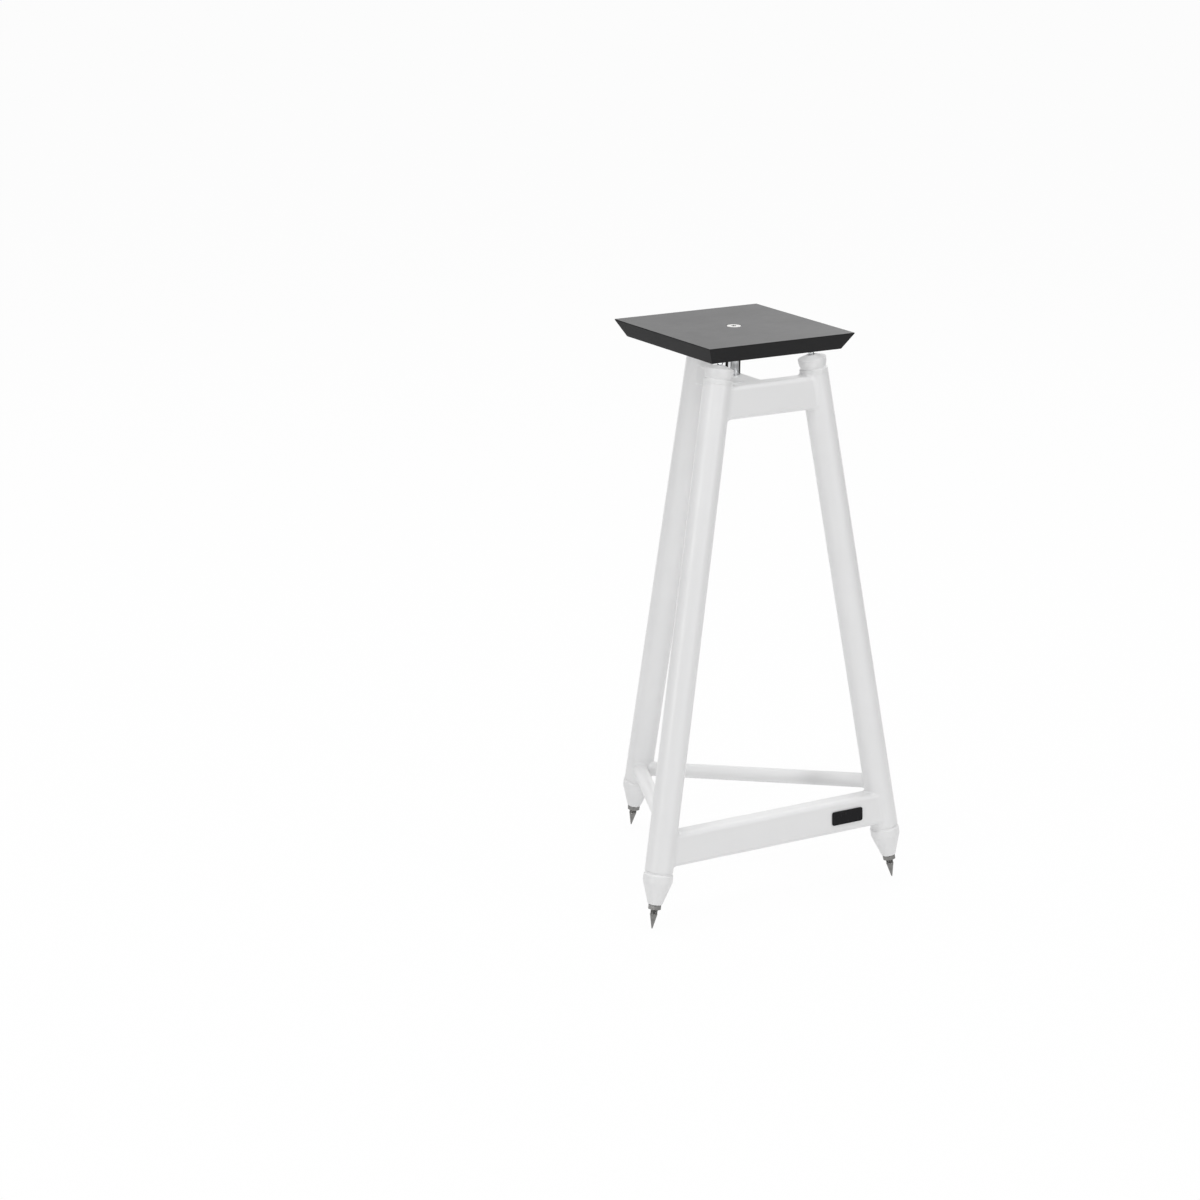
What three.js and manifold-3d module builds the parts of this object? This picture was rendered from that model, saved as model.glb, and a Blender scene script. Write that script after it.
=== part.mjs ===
// A three-legged loudspeaker stand, in millimetres, +Z up.
// The front of the stand faces -Y. While it is being built, the middle of the top plate lies over
// x = 0, y = 0 and the spike tips touch z = 0. At the end the whole stand is moved so that the
// origin is on the floor under the middle of its outline.
import * as THREE from 'three';
import { ConvexGeometry } from 'three/addons/geometries/ConvexGeometry.js';
import { mergeVertices } from 'three/addons/utils/BufferGeometryUtils.js';
import Module from 'manifold-3d';

const wasm = await Module();
wasm.setup();

// ---- driving dimensions -------------------------------------------------------------------

const standHeight = 610;        // floor to the top of the plate
const seatGap = 0.3;            // gap kept between pieces that touch
const threadGap = 0.3;          // radial room between a thread and its hole
const threadChamfer = 0.8;      // at the end of a thread
const cutSpare = 1;             // how far a cutting shape runs past what it cuts

// top plate, a board with undercut edges
const plateWidth = 182;
const plateDepth = 180;
const plateThickness = 18;
const plateLand = 1;            // upright band left along the top edge
const plateUndercut = 9.7;      // how far the underside is drawn in on each side

// where the leg axes meet the floor, from the plate's middle
const frontFootSpread = 157;
const frontFootReach = 104.5;
const rearFootReach = 180.5;

// where the leg axes meet the underside of the plate, in from the edges of its top face
const sideInset = 34.5;
const frontInset = 30.5;
const rearInset = 34.5;

// leg tubes
const legDiameter = 30;
const legWall = 2;

// turned plugs in both ends of each leg: heights are measured along the leg axis
const plugGap = 0.15;           // radial room between a plug and the tube
const plugLength = 24;          // how far a plug reaches into the tube
const grooveDepth = 1.8;
const grooveWidth = 3.6;
const capDrop = 7.3;            // underside of the plate to the flat on top of the cap
const capFlatDiameter = 10.6;
const capCrown = 3.4;           // height of the shallow cone from the flat down to the rim
const capRim = 0.7;             // chamfer round the rim
const capCollar = 8.9;          // plain band between the rim and the groove
const capBead = 3;              // band between the groove and the tube
const footStep = 0.7;           // how far the foot stands out from the tube
const footCollar = 6.5;         // plain band of the foot
const footCone = 25.5;          // from the plain band down to the nut
const footEndDiameter = 15.2;

// floor spikes and their lock nuts
const spikeDiameter = 8;
const spikeLength = 50;
const spikeCone = 15.5;
const spikeTipDiameter = 1.2;
const spikeInsertion = 23.5;    // thread inside the foot
const lockNutWidth = 13;        // across flats
const lockNutHeight = 5;
const spikeBoreSpare = 8;       // depth left above the spike in the foot

// cones on the caps, which carry the plate
const coneThread = 6;
const coneThreadLength = 14;
const coneDiameter = 8;
const coneHeight = 4.3;
const coneTipDiameter = 1.2;
const coneBoreSpare = 5;

// rectangular rails between the front legs
const railHeight = 35;
const railDepth = 25;
const railCorner = 5;
const railWall = 2;
const weldRoom = 2.8;           // room left for a weld beside a joint
const lowerRailStep = 3.8;      // lower end of the leg tube to the underside of the lower rail

// bar that runs back from the upper rail to the rear leg
const barWidth = 20;
const barHeight = 20;
const barCorner = 2;
const barWall = 2;
const barDrop = 4.5;            // top of the upper rail to the top of the bar

// round rails between the rear leg and the front legs
const rearRailDiameter = 16;
const rearRailWall = 1.5;

// plate bolt, its sleeve, washer and nut
const boltDiameter = 8;
const boltHeadDiameter = 15;
const boltHeadLand = 0.6;
const boltSocketWidth = 5;      // across flats
const boltSocketDepth = 3;
const boltTail = 3;             // thread that stands out of the nut
const sleeveDiameter = 17;
const sleeveEdge = 0.6;
const washerDiameter = 16;
const washerThickness = 1.6;
const nutWidth = 13;            // across flats
const nutHeight = 6.5;

// badge plate on the lower rail
const badgeWidth = 40;
const badgeHeight = 15;
const badgeThickness = 1;
const badgeCorner = 2.5;
const badgeRoom = 20;           // from the badge to the right-hand leg

const legSides = 48;
const turnedSides = 36;
const threadSides = 24;
const arcSteps = 4;

// ---- sizes that follow from them ----------------------------------------------------------

const plateUnderside = standHeight - plateThickness;
const frontTopSpread = plateWidth / 2 - sideInset;
const frontTopReach = plateDepth / 2 - frontInset;
const rearTopReach = plateDepth / 2 - rearInset;
const legRadius = legDiameter / 2;
const legBore = legRadius - legWall;
const spikeRadius = spikeDiameter / 2;
const boltRadius = boltDiameter / 2;
const boltHole = boltRadius + threadGap;

// stations along a leg axis, measured up from the spike tip
const footUnderside = spikeLength - spikeInsertion;
const footConeTop = footUnderside + footCone;
const footGrooveStart = footConeTop + footCollar;
const footShoulder = footGrooveStart + grooveWidth;
const legStart = footShoulder + seatGap;

// stations measured down from the underside of the plate
const capCollarStart = capDrop + capCrown;
const capGrooveStart = capCollarStart + capCollar;
const capBeadStart = capGrooveStart + grooveWidth;
const capShoulder = capBeadStart + capBead;
const legEndDrop = capShoulder + seatGap;

// ---- materials ----------------------------------------------------------------------------

const finish = (color, roughness, metalness) =>
  new THREE.MeshStandardMaterial({ color, roughness, metalness });
const paint = () => finish(0xdfe0e1, 0.45, 0.0);
const board = () => finish(0x35363a, 0.55, 0.0);
const chrome = () => finish(0xc9cbce, 0.12, 1.0);
const steel = () => finish(0x9c9a97, 0.3, 1.0);
const badgeBlack = () => finish(0x101012, 0.3, 0.0);

// ---- helpers ------------------------------------------------------------------------------

const v3 = (x, y, z) => new THREE.Vector3(x, y, z);
const up = v3(0, 0, 1);

function named(name, geometry, material) {
  const mesh = new THREE.Mesh(geometry, material);
  mesh.name = name;
  return mesh;
}

// solid or ring turned about +Z from [radius, height] points, outer side going up
function turned(points, sides) {
  const profile = points.map(([radius, height]) => new THREE.Vector2(radius, height));
  return new THREE.LatheGeometry(profile, sides).rotateX(Math.PI / 2);
}

function ring(outer, inner, length, sides) {
  return turned([[inner, 0], [outer, 0], [outer, length], [inner, length], [inner, 0]], sides);
}

function rod(radius, length, sides) {
  return turned([[0, 0], [radius, 0], [radius, length], [0, length]], sides);
}

// quarter round between two radii, as points of a turned profile
function quarterRound(centreRadius, centreHeight, radius, from, to) {
  const points = [];
  for (let step = 0; step <= arcSteps; step += 1) {
    const angle = from + (to - from) * step / arcSteps;
    points.push([centreRadius + radius * Math.cos(angle), centreHeight + radius * Math.sin(angle)]);
  }
  return points;
}

function roundedRectangle(width, height, radius, Path = THREE.Shape) {
  const x = width / 2;
  const y = height / 2;
  const path = new Path();
  path.moveTo(x, y - radius);
  path.absarc(x - radius, y - radius, radius, 0, Math.PI / 2);
  path.absarc(radius - x, y - radius, radius, Math.PI / 2, Math.PI);
  path.absarc(radius - x, radius - y, radius, Math.PI, 1.5 * Math.PI);
  path.absarc(x - radius, radius - y, radius, 1.5 * Math.PI, 2 * Math.PI);
  return path;
}

function hexagon(acrossFlats) {
  const shape = new THREE.Shape();
  const corner = acrossFlats / Math.sqrt(3);
  for (let side = 0; side < 6; side += 1) {
    const angle = side * Math.PI / 3;
    if (side === 0) shape.moveTo(corner, 0);
    else shape.lineTo(corner * Math.cos(angle), corner * Math.sin(angle));
  }
  shape.closePath();
  return shape;
}

function extruded(shape, depth) {
  return new THREE.ExtrudeGeometry(shape, { depth, bevelEnabled: false, curveSegments: arcSteps });
}

// solids for cutting and joining
function solid(geometry) {
  const bare = geometry.clone();
  bare.deleteAttribute('normal');
  bare.deleteAttribute('uv');
  const merged = mergeVertices(bare, 1e-4);
  const index = merged.index.array;
  const triangles = [];
  for (let i = 0; i < index.length; i += 3) {
    const [a, b, c] = [index[i], index[i + 1], index[i + 2]];
    if (a !== b && b !== c && c !== a) triangles.push(a, b, c);
  }
  return new wasm.Manifold(new wasm.Mesh({
    numProp: 3,
    vertProperties: new Float32Array(merged.attributes.position.array),
    triVerts: new Uint32Array(triangles),
  }));
}

function toGeometry(manifold) {
  const mesh = manifold.getMesh();
  const geometry = new THREE.BufferGeometry();
  geometry.setAttribute('position', new THREE.BufferAttribute(new Float32Array(mesh.vertProperties), 3));
  geometry.setIndex(new THREE.BufferAttribute(new Uint32Array(mesh.triVerts), 1));
  geometry.computeVertexNormals();
  return geometry;
}

function cut(geometry, ...cutters) {
  return toGeometry(cutters.reduce((body, cutter) => body.subtract(solid(cutter)), solid(geometry)));
}

// moves a shape built along +Z from its origin onto the line from start to end
function along(geometry, start, end) {
  const direction = end.clone().sub(start).normalize();
  geometry.applyQuaternion(new THREE.Quaternion().setFromUnitVectors(up, direction));
  return geometry.translate(start.x, start.y, start.z);
}

// ---- the legs' axes -----------------------------------------------------------------------

function makeLeg(name, tip, top) {
  const direction = top.clone().sub(tip).normalize();
  const length = top.distanceTo(tip);
  return { name, tip, top, direction, length, end: length - legEndDrop };
}

const legs = {
  frontLeft: makeLeg('front_left', v3(-frontFootSpread, -frontFootReach, 0),
    v3(-frontTopSpread, -frontTopReach, plateUnderside)),
  frontRight: makeLeg('front_right', v3(frontFootSpread, -frontFootReach, 0),
    v3(frontTopSpread, -frontTopReach, plateUnderside)),
  rear: makeLeg('rear', v3(0, rearFootReach, 0), v3(0, rearTopReach, plateUnderside)),
};

const station = (leg, distance) => leg.tip.clone().addScaledVector(leg.direction, distance);
const atHeight = (leg, z) => station(leg, z / leg.direction.z);

// the room that a leg tube takes, for coping the rails to it
function legRoom(leg) {
  const room = rod(legRadius + seatGap, leg.length, legSides);
  return along(room, leg.tip, leg.top);
}

// ---- pieces in line with a leg ------------------------------------------------------------

function footGeometry() {
  const collar = legRadius + footStep;
  const end = footEndDiameter / 2;
  const plug = legBore - plugGap;
  const bore = spikeRadius + threadGap;
  const boreTop = spikeLength + spikeBoreSpare;
  const blendRadius = footCollar;
  const outline = [[0, boreTop], [bore, boreTop], [bore, footUnderside], [end, footUnderside]];
  // the cone swells into the plain band
  const slope = Math.atan2(collar - end, footCone);
  const blend = quarterRound(collar - blendRadius, footConeTop, blendRadius, -slope, 0);
  outline.push(...blend);
  outline.push([collar, footGrooveStart]);
  outline.push([legRadius - grooveDepth, footGrooveStart + grooveWidth / 2]);
  outline.push([legRadius, footShoulder], [plug, footShoulder]);
  outline.push([plug, footShoulder + plugLength], [0, footShoulder + plugLength]);
  return turned(outline, turnedSides);
}

// heights run down from the underside of the plate, so the profile is mirrored into place
function capGeometry(leg) {
  const plug = legBore - plugGap;
  const bore = coneThread / 2 + threadGap;
  const boreBottom = capDrop + coneThreadLength + coneBoreSpare;
  const level = (drop) => leg.length - drop;
  const outline = [[0, level(capShoulder + plugLength)], [plug, level(capShoulder + plugLength)]];
  outline.push([plug, level(capShoulder)], [legRadius, level(capShoulder)]);
  outline.push([legRadius, level(capBeadStart)]);
  outline.push([legRadius - grooveDepth, level(capGrooveStart + grooveWidth / 2)]);
  outline.push([legRadius, level(capGrooveStart)]);
  outline.push([legRadius, level(capCollarStart + capRim)], [legRadius - capRim, level(capCollarStart)]);
  outline.push([capFlatDiameter / 2, level(capDrop)], [bore, level(capDrop)]);
  outline.push([bore, level(boreBottom)], [0, level(boreBottom)]);
  return turned(outline, turnedSides);
}

// the small flat of the tip leans with the leg: its lowest edge is the part that is on the floor
function spikeGeometry(leg) {
  const tip = spikeTipDiameter / 2;
  const lift = tip * Math.hypot(leg.direction.x, leg.direction.y) / leg.direction.z;
  const outline = [[0, lift], [tip, lift], [spikeRadius, spikeCone]];
  outline.push([spikeRadius, spikeLength - threadChamfer]);
  outline.push([spikeRadius - threadChamfer, spikeLength], [0, spikeLength]);
  return turned(outline, threadSides);
}

function supportConeGeometry(leg) {
  const top = leg.length - seatGap;
  const base = top - coneHeight;
  const bottom = leg.length - capDrop - coneThreadLength;
  const shank = coneThread / 2;
  const outline = [[0, bottom], [shank - threadChamfer, bottom], [shank, bottom + threadChamfer]];
  outline.push([shank, base], [coneDiameter / 2, base], [coneTipDiameter / 2, top], [0, top]);
  return turned(outline, threadSides);
}

// hexagon nut with its corners turned off, bore along +Z, from z = 0 to its height
function hexNut(acrossFlats, height, boreRadius) {
  const corner = acrossFlats / Math.sqrt(3);
  const flat = acrossFlats / 2;
  const chamfer = (corner - flat) * Math.tan(Math.PI / 6);
  const blank = solid(extruded(hexagon(acrossFlats), height));
  const barrel = solid(turned([[0, 0], [flat, 0], [corner, chamfer], [corner, height - chamfer],
    [flat, height], [0, height]], turnedSides));
  const bore = rod(boreRadius, height + 2 * cutSpare, threadSides).translate(0, 0, -cutSpare);
  return toGeometry(blank.intersect(barrel).subtract(solid(bore)));
}

function addLegPieces(stand, leg) {
  const line = new THREE.Group();
  line.position.copy(leg.tip);
  line.quaternion.setFromUnitVectors(up, leg.direction);
  const tube = ring(legRadius, legBore, leg.end - legStart, legSides).translate(0, 0, legStart);
  const nutSeat = footUnderside - seatGap;
  const lockNut = hexNut(lockNutWidth, lockNutHeight, spikeRadius + threadGap)
    .translate(0, 0, nutSeat - lockNutHeight);
  line.add(named(`leg_${leg.name}`, tube, paint()));
  line.add(named(`foot_${leg.name}`, footGeometry(), paint()));
  line.add(named(`leg_cap_${leg.name}`, capGeometry(leg), paint()));
  line.add(named(`support_cone_${leg.name}`, supportConeGeometry(leg), chrome()));
  line.add(named(`lock_nut_${leg.name}`, lockNut, steel()));
  line.add(named(`floor_spike_${leg.name}`, spikeGeometry(leg), steel()));
  stand.add(line);
}

// ---- rails --------------------------------------------------------------------------------

// the two front legs lie in one leaning plane: these are its directions
const across = v3(1, 0, 0);
const rise = v3(0, frontFootReach - frontTopReach, plateUnderside).normalize();
const back = rise.clone().cross(across).normalize();

const upperRailTop = station(legs.frontLeft, legs.frontLeft.end).z - weldRoom;
const lowerRailUnderside = station(legs.frontLeft, legStart).z + lowerRailStep;
const upperRailCentre = upperRailTop - railHeight / 2 * rise.z;
const lowerRailCentre = lowerRailUnderside + railHeight / 2 * rise.z;
const lowerRailTop = lowerRailCentre + railHeight / 2 * rise.z;

function boxTube(width, height, corner, wall, length) {
  const section = roundedRectangle(width, height, corner);
  const inner = Math.max(corner - wall, wall / 4);
  section.holes.push(roundedRectangle(width - 2 * wall, height - 2 * wall, inner, THREE.Path));
  return extruded(section, length);
}

// turns a section drawn depth by height so that it runs along +X in the leaning plane
function placeRail(geometry, centreHeight, halfLength) {
  const middle = atHeight(legs.frontLeft, centreHeight);
  const frame = new THREE.Matrix4().makeBasis(back, rise, across);
  frame.setPosition(-halfLength, middle.y, middle.z);
  return geometry.applyMatrix4(frame);
}

function frontRail(centreHeight) {
  const halfLength = atHeight(legs.frontRight, centreHeight).x;
  const tube = boxTube(railDepth, railHeight, railCorner, railWall, 2 * halfLength);
  return cut(placeRail(tube, centreHeight, halfLength), legRoom(legs.frontLeft),
    legRoom(legs.frontRight));
}

// the room that the upper rail takes behind its back face, for the end of the centre bar
function upperRailRoom() {
  const halfLength = atHeight(legs.frontRight, upperRailCentre).x;
  const depth = railDepth + 2 * seatGap;
  const height = railHeight + 2 * seatGap;
  const block = extruded(roundedRectangle(depth, height, railCorner + seatGap), 2 * halfLength);
  return placeRail(block, upperRailCentre, halfLength);
}

const barTop = upperRailTop - barDrop;
const barMiddle = barTop - barHeight / 2;

function centreBar() {
  const start = atHeight(legs.frontLeft, barMiddle).y;
  const length = atHeight(legs.rear, barMiddle).y - start;
  const tube = boxTube(barWidth, barHeight, barCorner, barWall, length).rotateX(-Math.PI / 2);
  tube.translate(0, start, barMiddle);
  const hole = rod(boltHole, barHeight + 2 * cutSpare, threadSides)
    .translate(0, 0, barTop - barHeight - cutSpare);
  return cut(tube, upperRailRoom(), legRoom(legs.rear), hole);
}

// the rear rails start just above the foot of the rear leg and meet the front legs just above
// the lower front rail; they are mitred against each other in the middle plane
function rearRail(side) {
  const radius = rearRailDiameter / 2;
  const frontLeg = side < 0 ? legs.frontLeft : legs.frontRight;
  const start = atHeight(legs.rear, station(legs.rear, legStart).z + weldRoom + radius);
  const end = atHeight(frontLeg, lowerRailTop + weldRoom + radius);
  const tube = along(ring(radius, radius - rearRailWall, start.distanceTo(end), legSides / 2),
    start, end);
  const block = 2 * legDiameter;
  const otherSide = new THREE.BoxGeometry(block, block, block);
  otherSide.translate(-side * (block / 2 - seatGap / 2), start.y, start.z);
  return cut(tube, legRoom(legs.rear), legRoom(frontLeg), otherSide);
}

// ---- plate, bolt and badge ----------------------------------------------------------------

function plateOutline(inset, z) {
  const x = plateWidth / 2 - inset;
  const y = plateDepth / 2 - inset;
  return [v3(-x, -y, z), v3(x, -y, z), v3(x, y, z), v3(-x, y, z)];
}

const headRadius = boltHeadDiameter / 2;
const headDepth = boltHeadLand + headRadius - boltRadius;

function topPlate() {
  const board = new ConvexGeometry([
    ...plateOutline(0, standHeight),
    ...plateOutline(0, standHeight - plateLand),
    ...plateOutline(plateUndercut, plateUnderside),
  ]);
  const sink = headRadius + seatGap;
  const coneEnd = standHeight - boltHeadLand - seatGap - (sink - boltHole);
  const below = plateUnderside - cutSpare;
  const above = standHeight + cutSpare;
  const hole = turned([[0, below], [boltHole, below], [boltHole, coneEnd],
    [sink, standHeight - boltHeadLand - seatGap], [sink, above], [0, above]], turnedSides);
  return cut(board, hole);
}

const washerTop = barTop - barHeight - seatGap;
const nutTop = washerTop - washerThickness - seatGap;
const boltEnd = nutTop - nutHeight - boltTail;

function plateBolt() {
  const outline = [[0, boltEnd], [boltRadius - threadChamfer, boltEnd]];
  outline.push([boltRadius, boltEnd + threadChamfer], [boltRadius, standHeight - headDepth]);
  outline.push([headRadius, standHeight - boltHeadLand], [headRadius, standHeight]);
  outline.push([0, standHeight]);
  const socket = extruded(hexagon(boltSocketWidth), boltSocketDepth + cutSpare)
    .translate(0, 0, standHeight - boltSocketDepth);
  return cut(turned(outline, turnedSides), socket);
}

function centreSpacer() {
  const radius = sleeveDiameter / 2;
  const bottom = barTop + seatGap;
  const top = plateUnderside - seatGap;
  return turned([[boltHole, bottom], [radius - sleeveEdge, bottom], [radius, bottom + sleeveEdge],
    [radius, top - sleeveEdge], [radius - sleeveEdge, top], [boltHole, top], [boltHole, bottom]],
  turnedSides);
}

function badgePlate() {
  const outline = roundedRectangle(badgeWidth, badgeHeight, badgeCorner);
  const plate = extruded(outline, badgeThickness);
  const middle = atHeight(legs.frontRight, lowerRailCentre);
  const left = middle.x - legRadius - badgeRoom - badgeWidth / 2;
  const front = back.clone().negate();
  const frame = new THREE.Matrix4().makeBasis(across, rise, front);
  const place = v3(left, middle.y, middle.z).addScaledVector(front, railDepth / 2 + seatGap);
  frame.setPosition(place);
  return plate.applyMatrix4(frame);
}

// ---- the stand ----------------------------------------------------------------------------

function buildStand() {
  const stand = new THREE.Group();
  for (const leg of Object.values(legs)) addLegPieces(stand, leg);
  stand.add(named('upper_front_rail', frontRail(upperRailCentre), paint()));
  stand.add(named('lower_front_rail', frontRail(lowerRailCentre), paint()));
  stand.add(named('centre_bar', centreBar(), paint()));
  stand.add(named('rear_rail_left', rearRail(-1), paint()));
  stand.add(named('rear_rail_right', rearRail(1), paint()));
  stand.add(named('top_plate', topPlate(), board()));
  stand.add(named('plate_bolt', plateBolt(), steel()));
  stand.add(named('centre_spacer', centreSpacer(), chrome()));
  const washer = ring(washerDiameter / 2, boltHole, washerThickness, turnedSides)
    .translate(0, 0, washerTop - washerThickness);
  stand.add(named('bolt_washer', washer, steel()));
  const nut = hexNut(nutWidth, nutHeight, boltHole).translate(0, 0, nutTop - nutHeight);
  stand.add(named('bolt_nut', nut, steel()));
  stand.add(named('badge_plate', badgePlate(), badgeBlack()));
  return stand;
}

// origin: on the floor, under the middle of the outline
function centred(stand) {
  stand.updateMatrixWorld(true);
  const box = new THREE.Box3().setFromObject(stand, true);
  stand.position.set(-(box.min.x + box.max.x) / 2, -(box.min.y + box.max.y) / 2, -box.min.z);
  return stand;
}

export default centred(buildStand());
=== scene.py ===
import math

import bpy
from mathutils import Matrix, Vector


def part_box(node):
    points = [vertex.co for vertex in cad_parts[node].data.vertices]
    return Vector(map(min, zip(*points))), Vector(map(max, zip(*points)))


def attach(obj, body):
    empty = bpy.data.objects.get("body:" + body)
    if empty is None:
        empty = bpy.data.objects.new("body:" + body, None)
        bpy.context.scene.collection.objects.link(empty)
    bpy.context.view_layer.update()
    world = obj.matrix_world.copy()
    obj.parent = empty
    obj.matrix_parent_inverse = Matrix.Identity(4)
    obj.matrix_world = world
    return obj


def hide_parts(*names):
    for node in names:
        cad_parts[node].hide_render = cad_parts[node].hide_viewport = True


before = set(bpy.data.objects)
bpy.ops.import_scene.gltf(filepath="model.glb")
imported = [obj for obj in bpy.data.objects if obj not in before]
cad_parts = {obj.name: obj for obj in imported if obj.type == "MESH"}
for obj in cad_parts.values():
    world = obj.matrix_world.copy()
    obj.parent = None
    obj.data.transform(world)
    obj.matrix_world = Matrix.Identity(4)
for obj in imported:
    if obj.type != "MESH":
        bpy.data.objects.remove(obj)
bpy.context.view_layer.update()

upward = Vector((0, 0, 1))
mm = 0.001
plateLow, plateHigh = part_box("top_plate")
middle = (plateLow + plateHigh) / 2
middle.z = 0                                    # on the floor, under the plate's middle
print("frame loaded:", len(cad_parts), "nodes")

view = dict(place=(-2.00495458, -2.93513001, 1.31044812),
            turn=(74.1263986, -0.8258125, -32.20579373), lens=102.394945, sensor=36, reach=60)
room = dict(floorSize=24.0, daylight=0.38, floorGlow=0.96, white=1.0, paper=0.88)
lamps = {
    "stripLeft": dict(place=(-2.7, -0.75, 1.2), size=(0.3, 2.2), power=17.0),
    "stripRight": dict(place=(0.9, -2.8, 1.2), size=(0.3, 2.2), power=17.0),
    "boxAbove": dict(place=(0, 0, 3.0), size=(2.5, 2.5), power=48.0),
    "boxBackRight": dict(place=(2.2, 1.6, 1.9), size=(1.2, 1.2), power=9.0),
    "boxBackLeft": dict(place=(-0.9, 2.7, 1.9), size=(1.2, 1.2), power=9.0),
    "boxFront": dict(place=(-1.9, -2.8, 1.4), size=(2.6, 1.4), power=11.0),
}
lampAim = Vector((0, 0, 0.3))
frontLamps = ("stripLeft", "stripRight", "boxAbove", "boxFront")
flags = dict(away=1.5, top=0.55, grey=0.02, sides=180,  # a low black wall that only mirrors show
             gaps=((6, 106), (166, 204), (254, 291)))


def clearPicks():
    if bpy.context.object and bpy.context.object.mode != "OBJECT":
        bpy.ops.object.mode_set(mode="OBJECT")
    bpy.ops.object.select_all(action="DESELECT")


def pick(piece):
    clearPicks()
    piece.select_set(True)
    bpy.context.view_layer.objects.active = piece


def fresh(name):
    piece = bpy.context.object                  # what the last primitive made
    piece.name = name
    piece.data.name = name
    return piece


def pickFaces(piece, wanted):                   # selects the faces for which wanted(face) holds
    bpy.ops.object.mode_set(mode="OBJECT")
    for face in piece.data.polygons:
        face.select = wanted(face)
    for edge in piece.data.edges:
        edge.select = False
    for vertex in piece.data.vertices:
        vertex.select = False
    for face in piece.data.polygons:
        if face.select:
            for corner in face.vertices:
                piece.data.vertices[corner].select = True
    bpy.ops.object.mode_set(mode="EDIT")


def grey(tone, blue=1.0):
    return tone, tone, tone * blue, 1


def makeCamera():
    clearPicks()
    bpy.ops.object.camera_add(location=view["place"])
    camera = fresh("camera")
    camera.rotation_euler = [math.radians(angle) for angle in view["turn"]]
    camera.data.lens = view["lens"]
    camera.data.sensor_width = view["sensor"]
    camera.data.clip_end = view["reach"]
    bpy.context.scene.camera = camera


class Wire:                                     # a socket that sums can be written with
    def __init__(self, tree, socket):
        self.tree = tree
        self.socket = socket

    def reckon(self, operation, first, second):
        node = self.tree.nodes.new("ShaderNodeMath")
        node.operation = operation
        for slot, value in enumerate((first, second)):
            if isinstance(value, Wire):
                self.tree.links.new(value.socket, node.inputs[slot])
            else:
                node.inputs[slot].default_value = value
        return Wire(self.tree, node.outputs[0])

    def __add__(self, other):
        return self.reckon("ADD", self, other)

    def __radd__(self, other):
        return self.reckon("ADD", other, self)

    def __sub__(self, other):
        return self.reckon("SUBTRACT", self, other)

    def __rsub__(self, other):
        return self.reckon("SUBTRACT", other, self)

    def __mul__(self, other):
        return self.reckon("MULTIPLY", self, other)

    def __rmul__(self, other):
        return self.reckon("MULTIPLY", other, self)

    def atMost(self, other):
        return self.reckon("MINIMUM", self, other)


class Finish:                                   # a material, or the world, being put together
    def __init__(self, holder):
        holder.use_nodes = True
        self.holder = holder
        self.tree = holder.node_tree
        self.tree.nodes.clear()

    def node(self, kind, settings, values, output=0):
        node = self.tree.nodes.new("ShaderNode" + kind)
        for name, setting in settings.items():
            setattr(node, name, setting)
        for name, value in values.items():
            if isinstance(value, Wire):
                self.tree.links.new(value.socket, node.inputs[name])
            else:
                node.inputs[name].default_value = value
        return None if output is None else Wire(self.tree, node.outputs[output])

    def output(self, kind, shader):
        self.node("Output" + kind, {}, dict(Surface=shader), None)

    def mixColour(self, share, first, second):
        return self.node("Mix", dict(data_type="RGBA"), {0: share, 6: first, 7: second}, 2)

    def ownPlace(self):
        return self.node("TexCoord", {}, {}, "Object")

    def bump(self, strength, depth, height):
        return self.node("Bump", {}, dict(Strength=strength, Distance=depth, Height=height))

    def noise(self, where, scale, detail=2.0):
        return self.node("TexNoise", {}, dict(Vector=where, Scale=scale, Detail=detail))

    def seenWhite(self):                        # rays that should meet the white background
        seen = [self.node("LightPath", {}, {}, kind) for kind in
                ("Is Camera Ray", "Is Glossy Ray", "Is Transmission Ray")]
        return (seen[0] + seen[1] + seen[2]).atMost(1.0)


def makeRoom():
    scene = bpy.context.scene
    scene.view_settings.view_transform = "Standard"
    world = bpy.data.worlds.new("studio")
    scene.world = world
    air = Finish(world)
    seen = air.seenWhite()
    strength = seen + (1 - seen) * room["daylight"]
    light = air.node("Background", {}, dict(Color=grey(1), Strength=strength))
    air.output("World", light)

    clearPicks()
    bpy.ops.mesh.primitive_plane_add(size=room["floorSize"])
    floor = fresh("floor")
    pale = Finish(bpy.data.materials.new("floorPaper"))
    paper = pale.node("BsdfDiffuse", {}, dict(Color=grey(room["paper"])))
    glow = pale.node("Emission", {}, dict(Color=grey(1), Strength=room["white"]))
    shown = pale.node("MixShader", {}, {0: pale.seenWhite() * room["floorGlow"], 1: paper, 2: glow})
    pale.output("Material", shown)
    floor.data.materials.append(pale.holder)

    for name, lamp in lamps.items():
        clearPicks()
        bpy.ops.object.light_add(type="AREA", location=lamp["place"])
        light = fresh(name)
        light.data.shape = "RECTANGLE"
        light.data.size, light.data.size_y = lamp["size"]
        light.data.energy = lamp["power"]
        aim = lampAim - Vector(lamp["place"])
        light.rotation_euler = aim.to_track_quat("-Z", "Y").to_euler()


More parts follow.
